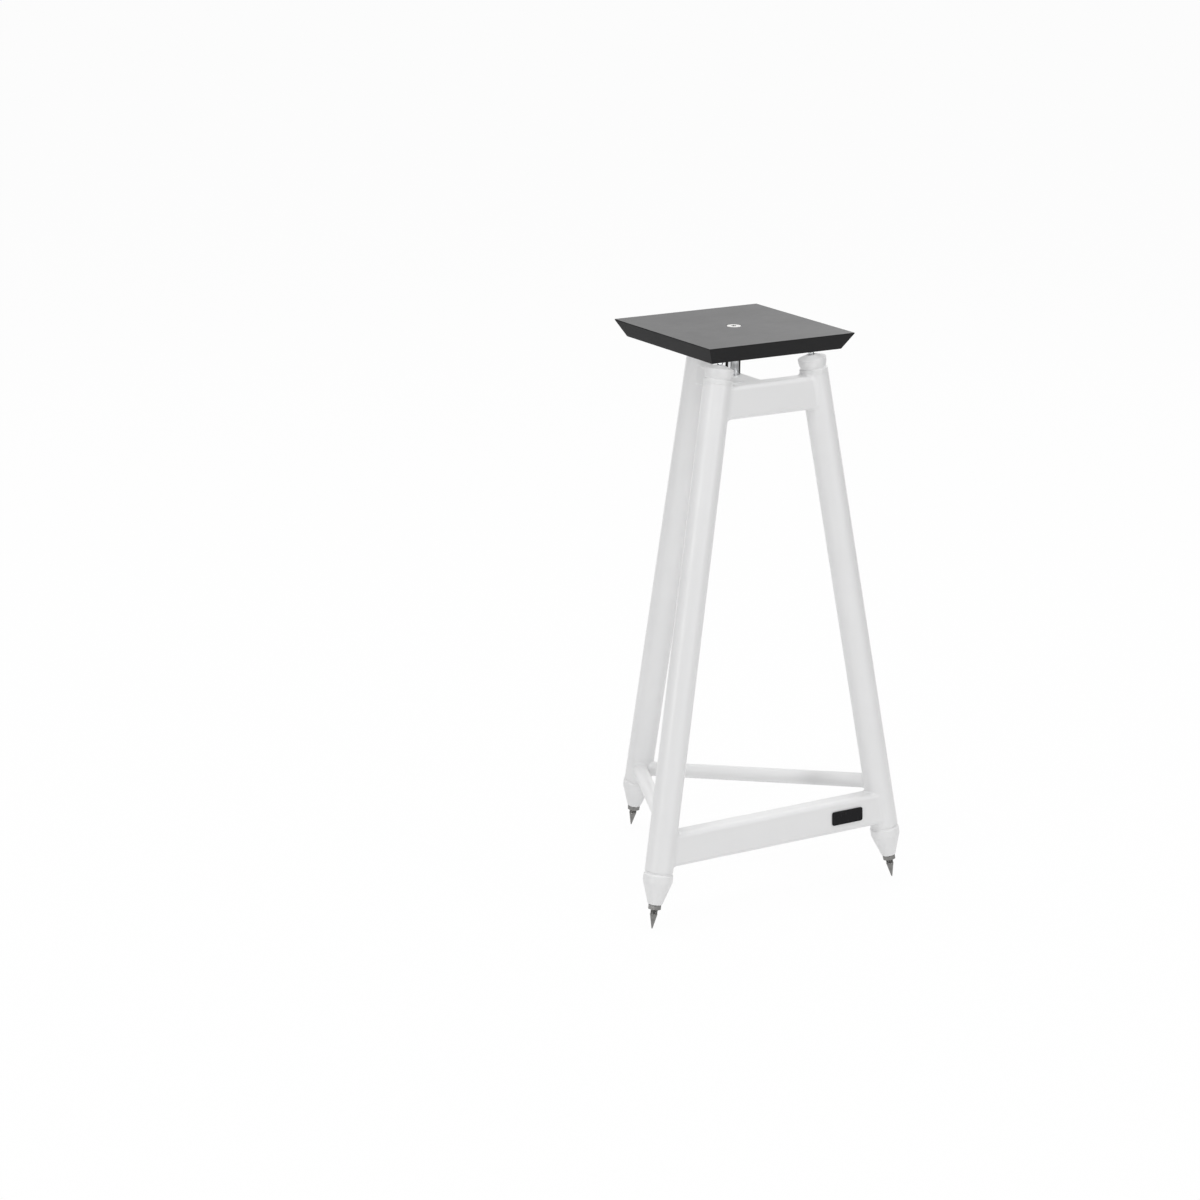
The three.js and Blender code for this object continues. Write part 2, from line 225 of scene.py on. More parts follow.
def makeFlags():
    clearPicks()
    bpy.ops.mesh.primitive_circle_add(vertices=flags["sides"], radius=flags["away"])
    wall = fresh("flags")
    bpy.ops.object.mode_set(mode="EDIT")
    bpy.ops.mesh.select_all(action="SELECT")
    bpy.ops.mesh.extrude_region_move(TRANSFORM_OT_translate=dict(value=(0, 0, flags["top"])))
    pickFaces(wall, lambda face: any(
        low < math.degrees(math.atan2(face.center.y, face.center.x)) % 360 < high
        for low, high in flags["gaps"]))
    bpy.ops.mesh.delete(type="FACE")
    bpy.ops.object.mode_set(mode="OBJECT")
    cloth = Finish(bpy.data.materials.new("flagCloth"))
    shade = cloth.node("BsdfDiffuse", {}, dict(Color=grey(flags["grey"])))
    cloth.output("Material", shade)
    wall.data.materials.append(cloth.holder)
    wall.visible_camera = False
    wall.visible_diffuse = False
    wall.visible_shadow = False


def letLampsPast(board):                        # the plate shades the frame from rear lamps only
    held = bpy.data.collections.new("lampsPassPlate")
    held.objects.link(board)
    held.collection_objects[0].light_linking.link_state = "EXCLUDE"
    for name in frontLamps:
        bpy.data.objects[name].light_linking.blocker_collection = held


makeCamera()
makeRoom()
makeFlags()
print("camera, floor and lights placed")


def dressed(finish, values):
    finish.output("Material", finish.node("BsdfPrincipled", {}, values))
    return finish.holder


paint = dict(colour=0.77, dull=0.735, blue=1.003, peel=850.0, cloud=26.0, contrast=1.2, shift=0.15,
             bump=0.25, depth=0.00006, rough=0.33, roughSpread=0.16)


def whitePaint():
    finish = Finish(bpy.data.materials.new("whitePowderPaint"))
    where = finish.ownPlace()
    peel = finish.noise(where, paint["peel"])
    cloud = finish.noise(where, paint["cloud"], 3.0)
    colour = finish.mixColour((cloud - 0.5) * paint["contrast"] + paint["shift"],
                              *[grey(paint[tone], paint["blue"]) for tone in ("colour", "dull")])
    return dressed(finish, {"Base Color": colour,
                            "Roughness": paint["rough"] + (cloud - 0.5) * paint["roughSpread"],
                            "Normal": finish.bump(paint["bump"], paint["depth"], peel)})


wood = dict(blue=1.05, grainScale=(60.0, 900.0, 900.0), fine=1300.0, cloud=18.0, grainStart=0.35,
            contrast=0.8, cloudRough=0.10, grainRough=0.12, bump=0.3, depth=0.00008, grainShare=0.6,
            fineShare=0.4)
# one board finish in two copies: the top film, and a duller lacquer for the sides whose darker tone
# is painted shade
film = dict(colour=0.016, worn=0.032, rough=0.37, shine=0.47)
edgeShadeLacquer = dict(colour=0.013, worn=0.022, rough=0.50, shine=0.09)


def blackBoard(name, lacquer):
    finish = Finish(bpy.data.materials.new(name))
    where = finish.ownPlace()
    along = finish.node("Mapping", {}, dict(Vector=where, Scale=wood["grainScale"]))
    grain = finish.noise(along, 1.0, 4.0)
    fine = finish.noise(where, wood["fine"], 1.0)
    cloud = finish.noise(where, wood["cloud"], 3.0)
    colour = finish.mixColour((grain - wood["grainStart"]) * wood["contrast"],
                              *[grey(lacquer[tone], wood["blue"]) for tone in ("colour", "worn")])
    rough = (lacquer["rough"] + (cloud - 0.5) * wood["cloudRough"]
             + (grain - 0.5) * wood["grainRough"])
    height = grain * wood["grainShare"] + fine * wood["fineShare"]
    return dressed(finish, {"Base Color": colour, "Roughness": rough,
                            "Normal": finish.bump(wood["bump"], wood["depth"], height),
                            "Specular IOR Level": lacquer["shine"]})


chrome = dict(colour=(0.68, 0.69, 0.70, 1), smear=140.0, rough=0.03, roughSpread=0.05)


def brightChrome():
    finish = Finish(bpy.data.materials.new("polishedChrome"))
    smear = finish.noise(finish.ownPlace(), chrome["smear"], 3.0)
    return dressed(finish, {"Base Color": chrome["colour"], "Metallic": 1.0,
                            "Roughness": chrome["rough"] + smear * chrome["roughSpread"]})


turning = dict(green=0.99, blue=0.965, rings=(90.0, 90.0, 4200.0), cloud=210.0, cloudShare=0.7,
               ringShare=0.3, bump=0.6, depth=0.00003, ringRough=0.2, cloudRough=0.15)
spikeSteel = dict(light=0.34, dark=0.10, rough=0.28)
boltSteel = dict(light=0.90, dark=0.70, rough=0.22)
# near-black steel for the bolt's socket: painted shade in its recess
socketShadeSteel = dict(light=0.035, dark=0.015, rough=0.45)


def turnedSteel(name, turn, place, steel):      # its rings run round the piece's own axis
    tones = [(tone, tone * turning["green"], tone * turning["blue"], 1)
             for tone in (steel["light"], steel["dark"])]
    finish = Finish(bpy.data.materials.new(name))
    own = finish.node("Mapping", dict(vector_type="TEXTURE"),
                      dict(Vector=finish.ownPlace(), Location=place, Rotation=turn))
    squeezed = finish.node("Mapping", {}, dict(Vector=own, Scale=turning["rings"]))
    rings = finish.noise(squeezed, 1.0)
    cloud = finish.noise(own, turning["cloud"], 3.0)
    colour = finish.mixColour(cloud * turning["cloudShare"] + rings * turning["ringShare"], *tones)
    rough = (steel["rough"] + (rings - 0.5) * turning["ringRough"]
             + (cloud - 0.5) * turning["cloudRough"])
    return dressed(finish, {"Base Color": colour, "Metallic": 1.0, "Roughness": rough,
                            "Normal": finish.bump(turning["bump"], turning["depth"], rings)})


gloss = dict(deep=(0.004, 0.004, 0.005, 1), pale=(0.008, 0.008, 0.009, 1), cloud=320.0, rough=0.20,
             roughSpread=0.12, shine=0.15)


def badgeGloss():
    finish = Finish(bpy.data.materials.new("badgeBlackGloss"))
    cloud = finish.noise(finish.ownPlace(), gloss["cloud"])
    return dressed(finish, {"Base Color": finish.mixColour(cloud, gloss["deep"], gloss["pale"]),
                            "Roughness": gloss["rough"] + cloud * gloss["roughSpread"],
                            "Specular IOR Level": gloss["shine"]})


paintFinish = whitePaint()
boardTop = blackBoard("blackBoardFilm", film)
boardShadedEdge = blackBoard("blackBoardEdge", edgeShadeLacquer)
chromeFinish = brightChrome()
print("finishes mixed")

roundSides = 96
joined = 2e-6                                   # points closer than this become one
overcut = 1 * mm                                # how far a cutter runs past what it cuts


def setDown(piece, place, direction=upward):    # stands a piece built along +Z on a line, for good
    pick(piece)
    piece.rotation_mode = "QUATERNION"
    piece.rotation_quaternion = upward.rotation_difference(direction)
    piece.location = place
    bpy.ops.object.transform_apply(location=True, rotation=True, scale=True)
    piece.rotation_mode = "XYZ"
    return piece


def setInFrame(piece, axes, place):             # axes: where the piece's own x, y and z go
    pick(piece)
    piece.matrix_world = Matrix.Translation(place) @ Matrix(axes).transposed().to_4x4()
    bpy.ops.object.transform_apply(location=True, rotation=True, scale=True)
    return piece


def applyOne(piece, kind, settings):
    pick(piece)
    modifier = piece.modifiers.new(kind.lower(), kind)
    for name, setting in settings.items():
        setattr(modifier, name, setting)
    bpy.ops.object.modifier_apply(modifier=modifier.name)
    return piece


def cutWith(piece, *cutters, keep="DIFFERENCE"):
    for cutter in cutters:
        applyOne(piece, "BOOLEAN", dict(operation=keep, solver="EXACT", object=cutter))
        bpy.data.objects.remove(cutter)
    return piece


def smoothed(piece, angle=28):
    pick(piece)
    bpy.ops.object.shade_smooth_by_angle(angle=math.radians(angle))
    return applyOne(piece, "WEIGHTED_NORMAL", dict(keep_sharp=True, weight=80))


def belongs(piece, body, slot, *finishes, stands=()):
    for finish in finishes:
        piece.data.materials.append(finish)
    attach(piece, body)
    if stands:
        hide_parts(*stands)
    return piece


def painted(piece, *stands):
    return belongs(smoothed(piece), "frame", "frame_paint", paintFinish, stands=stands)


def softCorners(outline, steps=4):              # a third number rounds that corner
    points = []
    for here, corner in enumerate(outline):
        point = Vector(corner[:2])
        if len(corner) < 3:
            points.append(point)
            continue
        toBefore = (Vector(outline[here - 1][:2]) - point).normalized()
        toAfter = (Vector(outline[(here + 1) % len(outline)][:2]) - point).normalized()
        half = toBefore.angle(toAfter) / 2
        reach = corner[2] / math.tan(half)
        centre = point + (toBefore + toAfter).normalized() * corner[2] / math.sin(half)
        first = point + toBefore * reach - centre
        last = point + toAfter * reach - centre
        points += [centre + first.slerp(last, step / steps).normalized() * corner[2]
                   for step in range(steps + 1)]
    return points


def turned(name, outline, sides=roundSides):    # outline: radius and height, outer side going up
    clearPicks()
    bpy.ops.mesh.primitive_plane_add(size=1 * mm)
    piece = fresh(name)
    bpy.ops.object.mode_set(mode="EDIT")
    bpy.ops.mesh.select_mode(type="VERT")
    bpy.ops.mesh.select_all(action="SELECT")
    bpy.ops.mesh.merge(type="CENTER")
    points = softCorners(outline)
    bpy.ops.transform.translate(value=(points[0].x, 0, points[0].y))
    for point, after in zip(points, points[1:]):
        step = after - point
        bpy.ops.mesh.extrude_vertices_move(TRANSFORM_OT_translate=dict(value=(step.x, 0, step.y)))
    bpy.ops.mesh.select_all(action="SELECT")
    bpy.ops.mesh.spin(steps=sides, angle=math.tau, center=(0, 0, 0), axis=(0, 0, 1),
                      use_auto_merge=True)
    bpy.ops.mesh.select_all(action="SELECT")
    bpy.ops.mesh.remove_doubles(threshold=joined)
    bpy.ops.mesh.normals_make_consistent(inside=False)
    bpy.ops.object.mode_set(mode="OBJECT")
    return piece


def closedRing(name, outer, inner, low, high, edge, sides=roundSides):
    corners = softCorners([(inner, low, edge), (outer, low, edge), (outer, high, edge),
                           (inner, high, edge)])
    loop = [tuple(point) for point in corners]
    return turned(name, loop + loop[:1], sides)


thread = dict(rows=8, depth=0.6134, fade=0.8, crest=0.875, flank=0.625, endRoom=1e-6, skinRoom=2e-5)


def threadRun(radius, low, high, pitch):        # points of an outline where a thread is to be cut
    count = round((high - low) / pitch * thread["rows"])
    return [(radius, low + (high - low) * row / count) for row in range(count + 1)]


def cutThread(piece, radius, low, high, pitch):
    for vertex in piece.data.vertices:
        x, y, z = vertex.co
        onThread = low - thread["endRoom"] < z < high + thread["endRoom"]
        if onThread and math.hypot(x, y) > radius - thread["skinRoom"]:
            phase = abs((z / pitch - math.atan2(y, x) / math.tau) % 1 - 0.5) * 2   # 1 on the crest
            runOut = thread["fade"] * pitch
            fade = min(1, (z - low) / runOut, (high - z) / runOut)
            groove = min(1, max(0, (thread["crest"] - phase) / thread["flank"]))
            sink = thread["depth"] * pitch * max(0, fade) * groove
            vertex.co.x = x * (radius - sink) / radius
            vertex.co.y = y * (radius - sink) / radius
    return piece


def upright(name, sides, radius, low, high, turn=0.0):  # a plain bar along +Z
    clearPicks()
    bpy.ops.mesh.primitive_cylinder_add(vertices=sides, radius=radius, depth=high - low,
                                        location=(0, 0, (low + high) / 2), rotation=(0, 0, turn))
    piece = fresh(name)
    pick(piece)
    bpy.ops.object.transform_apply(location=True, rotation=True, scale=True)
    return piece


def rod(name, radius, low, high):
    return upright(name, roundSides, radius, low, high)


def hexBar(name, flats, low, high):             # a corner on +X, as in the frame
    return upright(name, 6, flats / math.sqrt(3), low, high, math.radians(30))


stand = dict(height=0.610, underside=0.592, seatGap=0.3 * mm, threadGap=0.3 * mm, seam=0.1 * mm)
legTube = dict(radius=15 * mm, wall=2 * mm, edge=0.15 * mm)
plug = dict(gap=0.15 * mm, length=24 * mm, grooveDepth=1.8 * mm, grooveWidth=3.6 * mm)
cap = dict(drop=7.3 * mm, flat=5.3 * mm, crown=3.4 * mm, collar=8.9 * mm, bead=3 * mm,
           ring=0.6 * mm, ringHalf=0.25 * mm, ringDepth=0.3 * mm, shy=0.1 * mm, waist=0.9 * mm,
           grooveLip=2.8 * mm, grooveHalf=1.2 * mm, taper=4 * mm)
foot = dict(step=0.7 * mm, collar=6.5 * mm, cone=25.5 * mm, end=7.6 * mm, notch=0.8 * mm,
            blendSteps=8)
spike = dict(radius=4 * mm, length=50 * mm, cone=15.5 * mm, tip=0.6 * mm, blunt=0.55,
             tipHeight=0.25 * mm, insertion=23.5 * mm, pitch=1.25 * mm, relief=0.5 * mm,
             chamfer=0.8 * mm, boreSpare=8 * mm, sides=48)
lockNut = dict(flats=13 * mm, height=5 * mm)
nutForm = dict(edge=0.12 * mm, lip=0.15 * mm, spare=0.1 * mm, sink=0.6 * mm)
plateCone = dict(thread=3 * mm, threadLength=14 * mm, radius=4 * mm, height=4.3 * mm, band=0.9 * mm,
                 tip=0.6 * mm, pitch=1.0 * mm, chamfer=0.8 * mm, relief=1.6 * mm, boreSpare=5 * mm,
                 sides=48)

footUnder = spike["length"] - spike["insertion"]
footConeTop = footUnder + foot["cone"]
footGroove = footConeTop + foot["collar"]
footShoulder = footGroove + plug["grooveWidth"]
legStart = footShoulder + stand["seatGap"]
capCollarTop = cap["drop"] + cap["crown"]
capGroove = capCollarTop + cap["collar"]
capBead = capGroove + plug["grooveWidth"]
capShoulder = capBead + cap["bead"]
legEndDrop = capShoulder + stand["seatGap"]
bore = legTube["radius"] - legTube["wall"]


class Leg:
    def __init__(self, name, tip, top):
        self.name = name
        self.tip = middle + Vector(tip)
        self.top = middle + Vector(top)
        self.length = (self.top - self.tip).length
        self.direction = (self.top - self.tip).normalized()
        self.end = self.length - legEndDrop

    def at(self, distance):
        return self.tip + self.direction * distance

    def atHeight(self, z):
        return self.tip + self.direction * (z / self.direction.z)

    def skin(self, point):                      # distance from the tube's surface, and the way out
        across = point - self.tip
        across = across - self.direction * across.dot(self.direction)
        return across.length - legTube["radius"], across.normalized()

    def room(self):                             # what rails are coped to
        cutter = rod("legRoom", legTube["radius"] + stand["seatGap"], 0, self.length)
        return setDown(cutter, self.tip, self.direction)


tips = dict(spread=0.157, front=0.1045, rear=0.1805)    # where the legs' axes meet the floor
tops = dict(spread=0.0565, front=0.0595, rear=0.0555)   # and the underside of the plate


def frontLeg(name, side):
    return Leg(name, (side * tips["spread"], -tips["front"], 0),
               (side * tops["spread"], -tops["front"], stand["underside"]))


legs = {
    "front_left": frontLeg("front_left", -1),
    "front_right": frontLeg("front_right", 1),
    "rear": Leg("rear", (0, tips["rear"], 0), (0, tops["rear"], stand["underside"])),
}


def footOutline():
    collar = legTube["radius"] + foot["step"]
    stem = bore - plug["gap"]
    hole = spike["radius"] + stand["threadGap"]
    holeTop = spike["length"] + spike["boreSpare"]
    blend, steps = foot["collar"], foot["blendSteps"]
    slope = math.atan2(collar - foot["end"], foot["cone"])
    swell = [(collar - blend + blend * math.cos(angle), footConeTop + blend * math.sin(angle))
             for angle in [-slope * (steps - step) / steps for step in range(steps + 1)]]
    return [(0, holeTop), (hole, holeTop), (hole, footUnder, 0.5 * mm),
            (foot["end"], footUnder, 0.7 * mm), *swell, (collar, footGroove, 1.2 * mm),
            (legTube["radius"] - foot["notch"], footGroove + plug["grooveWidth"] / 2, 0.5 * mm),
            (legTube["radius"], footShoulder, 0.12 * mm), (stem, footShoulder),
            (stem, footShoulder + plug["length"], 0.8 * mm), (0, footShoulder + plug["length"])]


def capOutline(length):
    radius, stem = legTube["radius"], bore - plug["gap"]
    hole = plateCone["thread"] + stand["threadGap"]
    deep = length - cap["drop"] - plateCone["threadLength"] - plateCone["boreSpare"]
    shoulder = length - capShoulder
    ring = length - capBead - cap["ring"]
    groove = length - capGroove
    rim = length - capCollarTop
    flat = length - cap["drop"]
    return [(0, shoulder - plug["length"]), (stem, shoulder - plug["length"], 0.8 * mm),
            (stem, shoulder), (radius, shoulder, 0.12 * mm), (radius, ring - cap["ringHalf"]),
            (radius - cap["ringDepth"], ring),
            (radius - cap["shy"], ring + cap["ringHalf"], 0.2 * mm),
            (radius - cap["shy"], groove - cap["grooveLip"], 0.5 * mm),
            (radius - plug["grooveDepth"], groove - cap["grooveHalf"], 0.4 * mm),
            (radius - cap["waist"], groove + cap["grooveHalf"], 1.5 * mm),
            (radius - cap["shy"], rim - cap["taper"], 8 * mm), (radius, rim, 0.9 * mm),
            (cap["flat"], flat, 1.5 * mm), (hole, flat, 0.4 * mm), (hole, deep), (0, deep)]


def spikeThread():                              # where its thread starts and ends
    return spike["cone"] + spike["relief"], spike["length"] - spike["chamfer"]


def spikeOutline(lift):
    radius, length = spike["radius"], spike["length"]
    run = threadRun(radius, *spikeThread(), spike["pitch"])
    return [(0, lift), (spike["tip"] * spike["blunt"], lift),
            (spike["tip"], lift + spike["tipHeight"]), (radius, spike["cone"], 0.25 * mm), *run,
            (radius - spike["chamfer"], length, 0.1 * mm), (0, length)]


def plateConeLevels(length):                    # lower end, underside of the cone, point
    low = length - cap["drop"] - plateCone["threadLength"]
    top = length - stand["seatGap"]
    return low, top - plateCone["height"], top


def plateConeThread(length):
    low, base, _ = plateConeLevels(length)
    return low + plateCone["chamfer"], base - plateCone["relief"]


def plateConeOutline(length):
    low, base, top = plateConeLevels(length)
    shank, radius = plateCone["thread"], plateCone["radius"]
    run = threadRun(shank, *plateConeThread(length), plateCone["pitch"])
    return [(0, low), (shank - plateCone["chamfer"], low), *run, (shank, base),
            (radius, base, 0.2 * mm), (radius, base + plateCone["band"], 0.2 * mm),
            (plateCone["tip"], top, 0.15 * mm), (0, top)]


def hexNut(name, flats, height, hole):
    corner, flat = flats / math.sqrt(3), flats / 2
    chamfer = (corner - flat) * math.tan(math.pi / 6)
    wide, lip, sink = corner + nutForm["spare"], nutForm["lip"], nutForm["sink"]
    nut = hexBar(name, flats, 0, height)
    nut = applyOne(nut, "BEVEL", dict(width=nutForm["edge"], segments=2, limit_method="ANGLE",
                                      angle_limit=math.radians(80)))
    barrel = turned("barrel", [(0, 0), (flat, 0, lip), (wide, chamfer), (wide, height - chamfer),
                               (flat, height, lip), (0, height)])
    cutWith(nut, barrel, keep="INTERSECT")
    drill = turned("drill", [(0, -sink), (hole + 2 * sink, -sink), (hole, sink),
                             (hole, height - sink), (hole + 2 * sink, height + sink),
                             (0, height + sink)])
    return cutWith(nut, drill)


def makeLegPieces(leg):
    tag = leg.name
    turn = upward.rotation_difference(leg.direction).to_euler()
    steelHere = turnedSteel("turnedSteel_" + tag, turn, leg.tip, spikeSteel)

    def standing(piece, distance=0):
        return setDown(piece, leg.at(distance) if distance else leg.tip, leg.direction)

    reach = stand["seatGap"] - stand["seam"]
    tube = closedRing("legTube_" + tag, legTube["radius"], bore, legStart - reach, leg.end + reach,
                      legTube["edge"])
    painted(standing(tube), "leg_" + tag)
    painted(standing(turned("footPlug_" + tag, footOutline())), "foot_" + tag)
    painted(standing(turned("capPlug_" + tag, capOutline(leg.length))), "leg_cap_" + tag)

    tilt = math.hypot(leg.direction.x, leg.direction.y) / leg.direction.z
    point = turned("spikeTurning_" + tag, spikeOutline(spike["tip"] * tilt), spike["sides"])
    cutThread(point, spike["radius"], *spikeThread(), spike["pitch"])
    belongs(smoothed(standing(point)), "floor_spike_" + tag, "plain_steel", steelHere,
            stands=["floor_spike_" + tag])

    nut = hexNut("spikeNut_" + tag, lockNut["flats"], lockNut["height"],
                 spike["radius"] + stand["threadGap"])
    seat = footUnder - stand["seatGap"] - lockNut["height"]
    belongs(smoothed(standing(nut, seat)), "lock_nut_" + tag, "plain_steel", steelHere,
            stands=["lock_nut_" + tag])

    bearer = turned("plateCone_" + tag, plateConeOutline(leg.length), plateCone["sides"])
    cutThread(bearer, plateCone["thread"], *plateConeThread(leg.length), plateCone["pitch"])
    belongs(smoothed(standing(bearer)), "support_cone_" + tag, "polished_chrome", chromeFinish,
            stands=["support_cone_" + tag])


for leg in legs.values():
    makeLegPieces(leg)
print("legs, feet, caps, cones, spikes and lock nuts made")

railSize = dict(height=35 * mm, depth=25 * mm, corner=5 * mm, wall=2 * mm, weldRoom=2.8 * mm,
                lowerStep=3.8 * mm)
barSize = dict(width=20 * mm, height=20 * mm, corner=2 * mm, wall=2 * mm, drop=4.5 * mm,
               drillSpare=5 * mm)
rearRail = dict(radius=8 * mm, wall=1.5 * mm, edge=0.2 * mm, sides=64, trim=60 * mm)
boltHole = 4.3 * mm

across = Vector((1, 0, 0))
rise = Vector((0, tips["front"] - tops["front"], stand["underside"])).normalized()
back = rise.cross(across).normalized()
frontLeft, frontRight, rear = legs["front_left"], legs["front_right"], legs["rear"]
upperTop = frontLeft.at(frontLeft.end).z - railSize["weldRoom"]
lowerUnder = frontLeft.at(legStart).z + railSize["lowerStep"]
halfRise = railSize["height"] / 2 * rise.z
upperHeight, lowerHeight = upperTop - halfRise, lowerUnder + halfRise
barTop = upperTop - barSize["drop"]
barMiddle = barTop - barSize["height"] / 2


def roundedBar(name, width, height, corner, low, high, steps=8):
    clearPicks()
    bpy.ops.mesh.primitive_plane_add(size=1)
    piece = fresh(name)
    bpy.ops.object.mode_set(mode="EDIT")
    bpy.ops.mesh.select_mode(type="VERT")
    bpy.ops.mesh.select_all(action="SELECT")
    bpy.ops.transform.resize(value=(width, height, 1))
    bpy.ops.transform.translate(value=(0, 0, low))
    bpy.ops.mesh.bevel(offset=corner, affect="VERTICES", segments=steps, clamp_overlap=True)
    bpy.ops.mesh.select_all(action="SELECT")
    bpy.ops.mesh.extrude_region_move(TRANSFORM_OT_translate=dict(value=(0, 0, high - low)))
    bpy.ops.mesh.select_all(action="SELECT")
    bpy.ops.mesh.normals_make_consistent(inside=False)
    bpy.ops.object.mode_set(mode="OBJECT")
    return piece


def boxTube(name, width, height, corner, wall, length):
    inner = roundedBar("hollow", width - 2 * wall, height - 2 * wall, max(corner - wall, wall / 4),
                       -overcut, length + overcut)
    return cutWith(roundedBar(name, width, height, corner, 0, length), inner)


class FrontRail:
    def __init__(self, height):
        place = frontRight.atHeight(height)
        self.half = place.x
        self.centre = Vector((0, place.y, place.z))

    def lay(self, piece):                       # a section built along +Z turns to run along +X
        return setInFrame(piece, (back, rise, across), self.centre - across * self.half)

    def skin(self, point):                      # distance from the rail's surface, and the way out
        away = point - self.centre
        deep, high = away.dot(back), away.dot(rise)
        corner = railSize["corner"]
        x = max(0, abs(deep) - railSize["depth"] / 2 + corner)
        y = max(0, abs(high) - railSize["height"] / 2 + corner)
        if x == 0 and y == 0:
            x = 1e-9                            # keeps a way out for a point in the middle
        out = back * math.copysign(x, deep) + rise * math.copysign(y, high)
        return math.hypot(x, y) - corner, out.normalized()


upperLine, lowerLine = FrontRail(upperHeight), FrontRail(lowerHeight)


def makeFrontRail(name, line, stands):
    tube = boxTube(name, railSize["depth"], railSize["height"], railSize["corner"],
                   railSize["wall"], 2 * line.half)
    line.lay(tube)
    painted(cutWith(tube, frontLeft.room(), frontRight.room()), stands)


def makeCentreBar():
    start = frontLeft.atHeight(barMiddle).y
    length = rear.atHeight(barMiddle).y - start
    bar = boxTube("barBehindUpperRail", barSize["width"], barSize["height"], barSize["corner"],
                  barSize["wall"], length)
    setInFrame(bar, ((1, 0, 0), (0, 0, -1), (0, 1, 0)), (0, start, barMiddle))
    gap = stand["seatGap"]
    rail = roundedBar("railRoom", railSize["depth"] + 2 * gap, railSize["height"] + 2 * gap,
                      railSize["corner"] + gap, 0, 2 * upperLine.half)
    drill = rod("drill", boltHole, barTop - barSize["height"] - barSize["drillSpare"],
                barTop + barSize["drillSpare"])
    setDown(drill, middle)
    painted(cutWith(bar, upperLine.lay(rail), rear.room(), drill), "centre_bar")


def rearLine(side):
    frontEnd = frontLeft if side < 0 else frontRight
    start = rear.atHeight(rear.at(legStart).z + railSize["weldRoom"] + rearRail["radius"])
    lowerTop = lowerHeight + halfRise
    end = frontEnd.atHeight(lowerTop + railSize["weldRoom"] + rearRail["radius"])
    return start, end, frontEnd


def makeRearRail(side, name, stands):
    start, end, frontEnd = rearLine(side)
    tube = closedRing(name, rearRail["radius"], rearRail["radius"] - rearRail["wall"], 0,
                      (end - start).length, rearRail["edge"], rearRail["sides"])
    setDown(tube, start, end - start)
    clearPicks()
    away = (rearRail["trim"] - stand["seatGap"]) / 2
    bpy.ops.mesh.primitive_cube_add(size=rearRail["trim"],
                                    location=(-side * away, start.y, start.z))
    otherSide = fresh("otherSide")
    painted(cutWith(tube, rear.room(), frontEnd.room(), otherSide), stands)


makeFrontRail("railUpperFront", upperLine, "upper_front_rail")
makeFrontRail("railLowerFront", lowerLine, "lower_front_rail")
makeCentreBar()
makeRearRail(-1, "railRearLeft", "rear_rail_left")
makeRearRail(1, "railRearRight", "rear_rail_right")
print("rails and centre bar made")

weld = dict(front=2.5 * mm, rear=2.4 * mm, bar=1.8 * mm, run=1.7, fill=0.2, rows=9, sink=0.5 * mm,
            ripple=0.05, waves=((1.9, 0, 0.6), (0.83, 1, 0.4)), tries=60, near=1e-7, smooth=40)


def boxSection(width, height, corner, steps=8, straight=10):
    signs = ((1, 1), (-1, 1), (-1, -1), (1, -1))
    centres = [Vector((sx * (width / 2 - corner), sy * (height / 2 - corner))) for sx, sy in signs]
    points = []
    for quarter, centre in enumerate(centres):
        for step in range(steps + 1):
            angle = math.pi / 2 * (quarter + step / steps)
            way = Vector((math.cos(angle), math.sin(angle)))
            points.append((centre + way * corner, way))
        onward = centres[(quarter + 1) % 4] + way * corner
        last = points[-1][0]
        points += [(last.lerp(onward, step / straight), way) for step in range(1, straight)]
    return points


def roundSection(radius, steps=roundSides):
    ways = [Vector((math.cos(math.tau * step / steps), math.sin(math.tau * step / steps)))
            for step in range(steps)]
    return [(way * radius, way) for way in ways]


